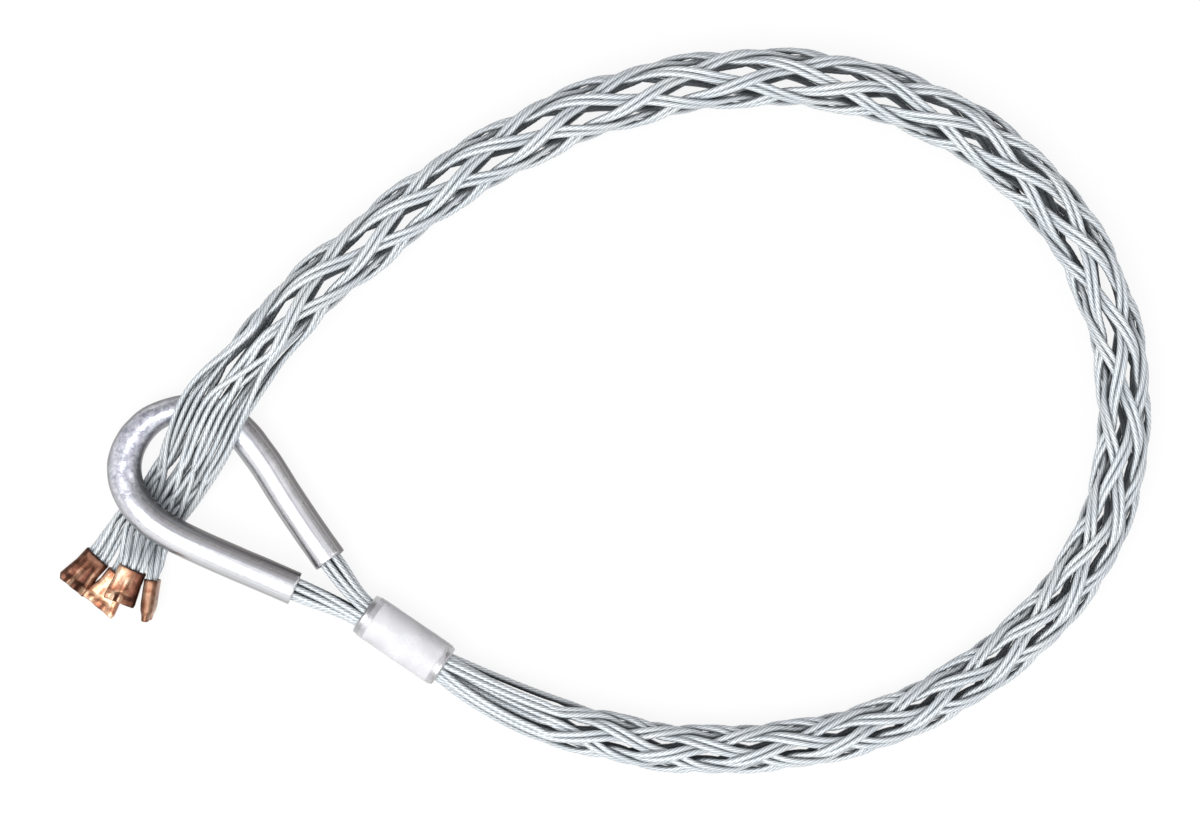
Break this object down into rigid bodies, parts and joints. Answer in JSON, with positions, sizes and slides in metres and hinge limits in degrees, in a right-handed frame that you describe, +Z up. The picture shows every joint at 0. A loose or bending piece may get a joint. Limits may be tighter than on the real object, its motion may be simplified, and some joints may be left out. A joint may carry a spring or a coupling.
{
  "type": "cable pulling grip",
  "caption": "Rope-eye cable pulling grip: a mesh sock woven from pairs of fine wire rope, with a bent sleeve round the eye, a round ferrule and flattened crimps on the rope ends.",
  "frame": {"origin": "middle of the bounding box at its lowest level, on the bench the grip lies on", "axes": "+Z up from the bench; +X along the loop's longer way, away from the eye; +Y across the loop, away from the ferrule"},
  "size_m": [0.2904, 0.1926, 0.0189],
  "materials": {
    "wire_rope": "galvanised steel wire rope, light cool grey with dull lays",
    "eye_sleeve": "bright drawn aluminium tube, mottled where it is bent",
    "ferrule": "pale satin pressed aluminium",
    "label": "plain white label",
    "label_tape": "clear glossy tape",
    "crimp": null
  },
  "bodies": {
    "root": {"rope_01": "wire_rope", "rope_02": "wire_rope", "rope_03": "wire_rope", "rope_04": "wire_rope", "rope_05": "wire_rope", "rope_06": "wire_rope", "rope_07": "wire_rope", "rope_08": "wire_rope", "rope_09": "wire_rope", "rope_10": "wire_rope", "eye_sleeve": "eye_sleeve", "ferrule": "ferrule", "label": "label", "label_tape": "label_tape", "crimp_01": "crimp", "crimp_02": "crimp", "crimp_03": "crimp", "crimp_04": "crimp"}
  },
  "joints": []
}
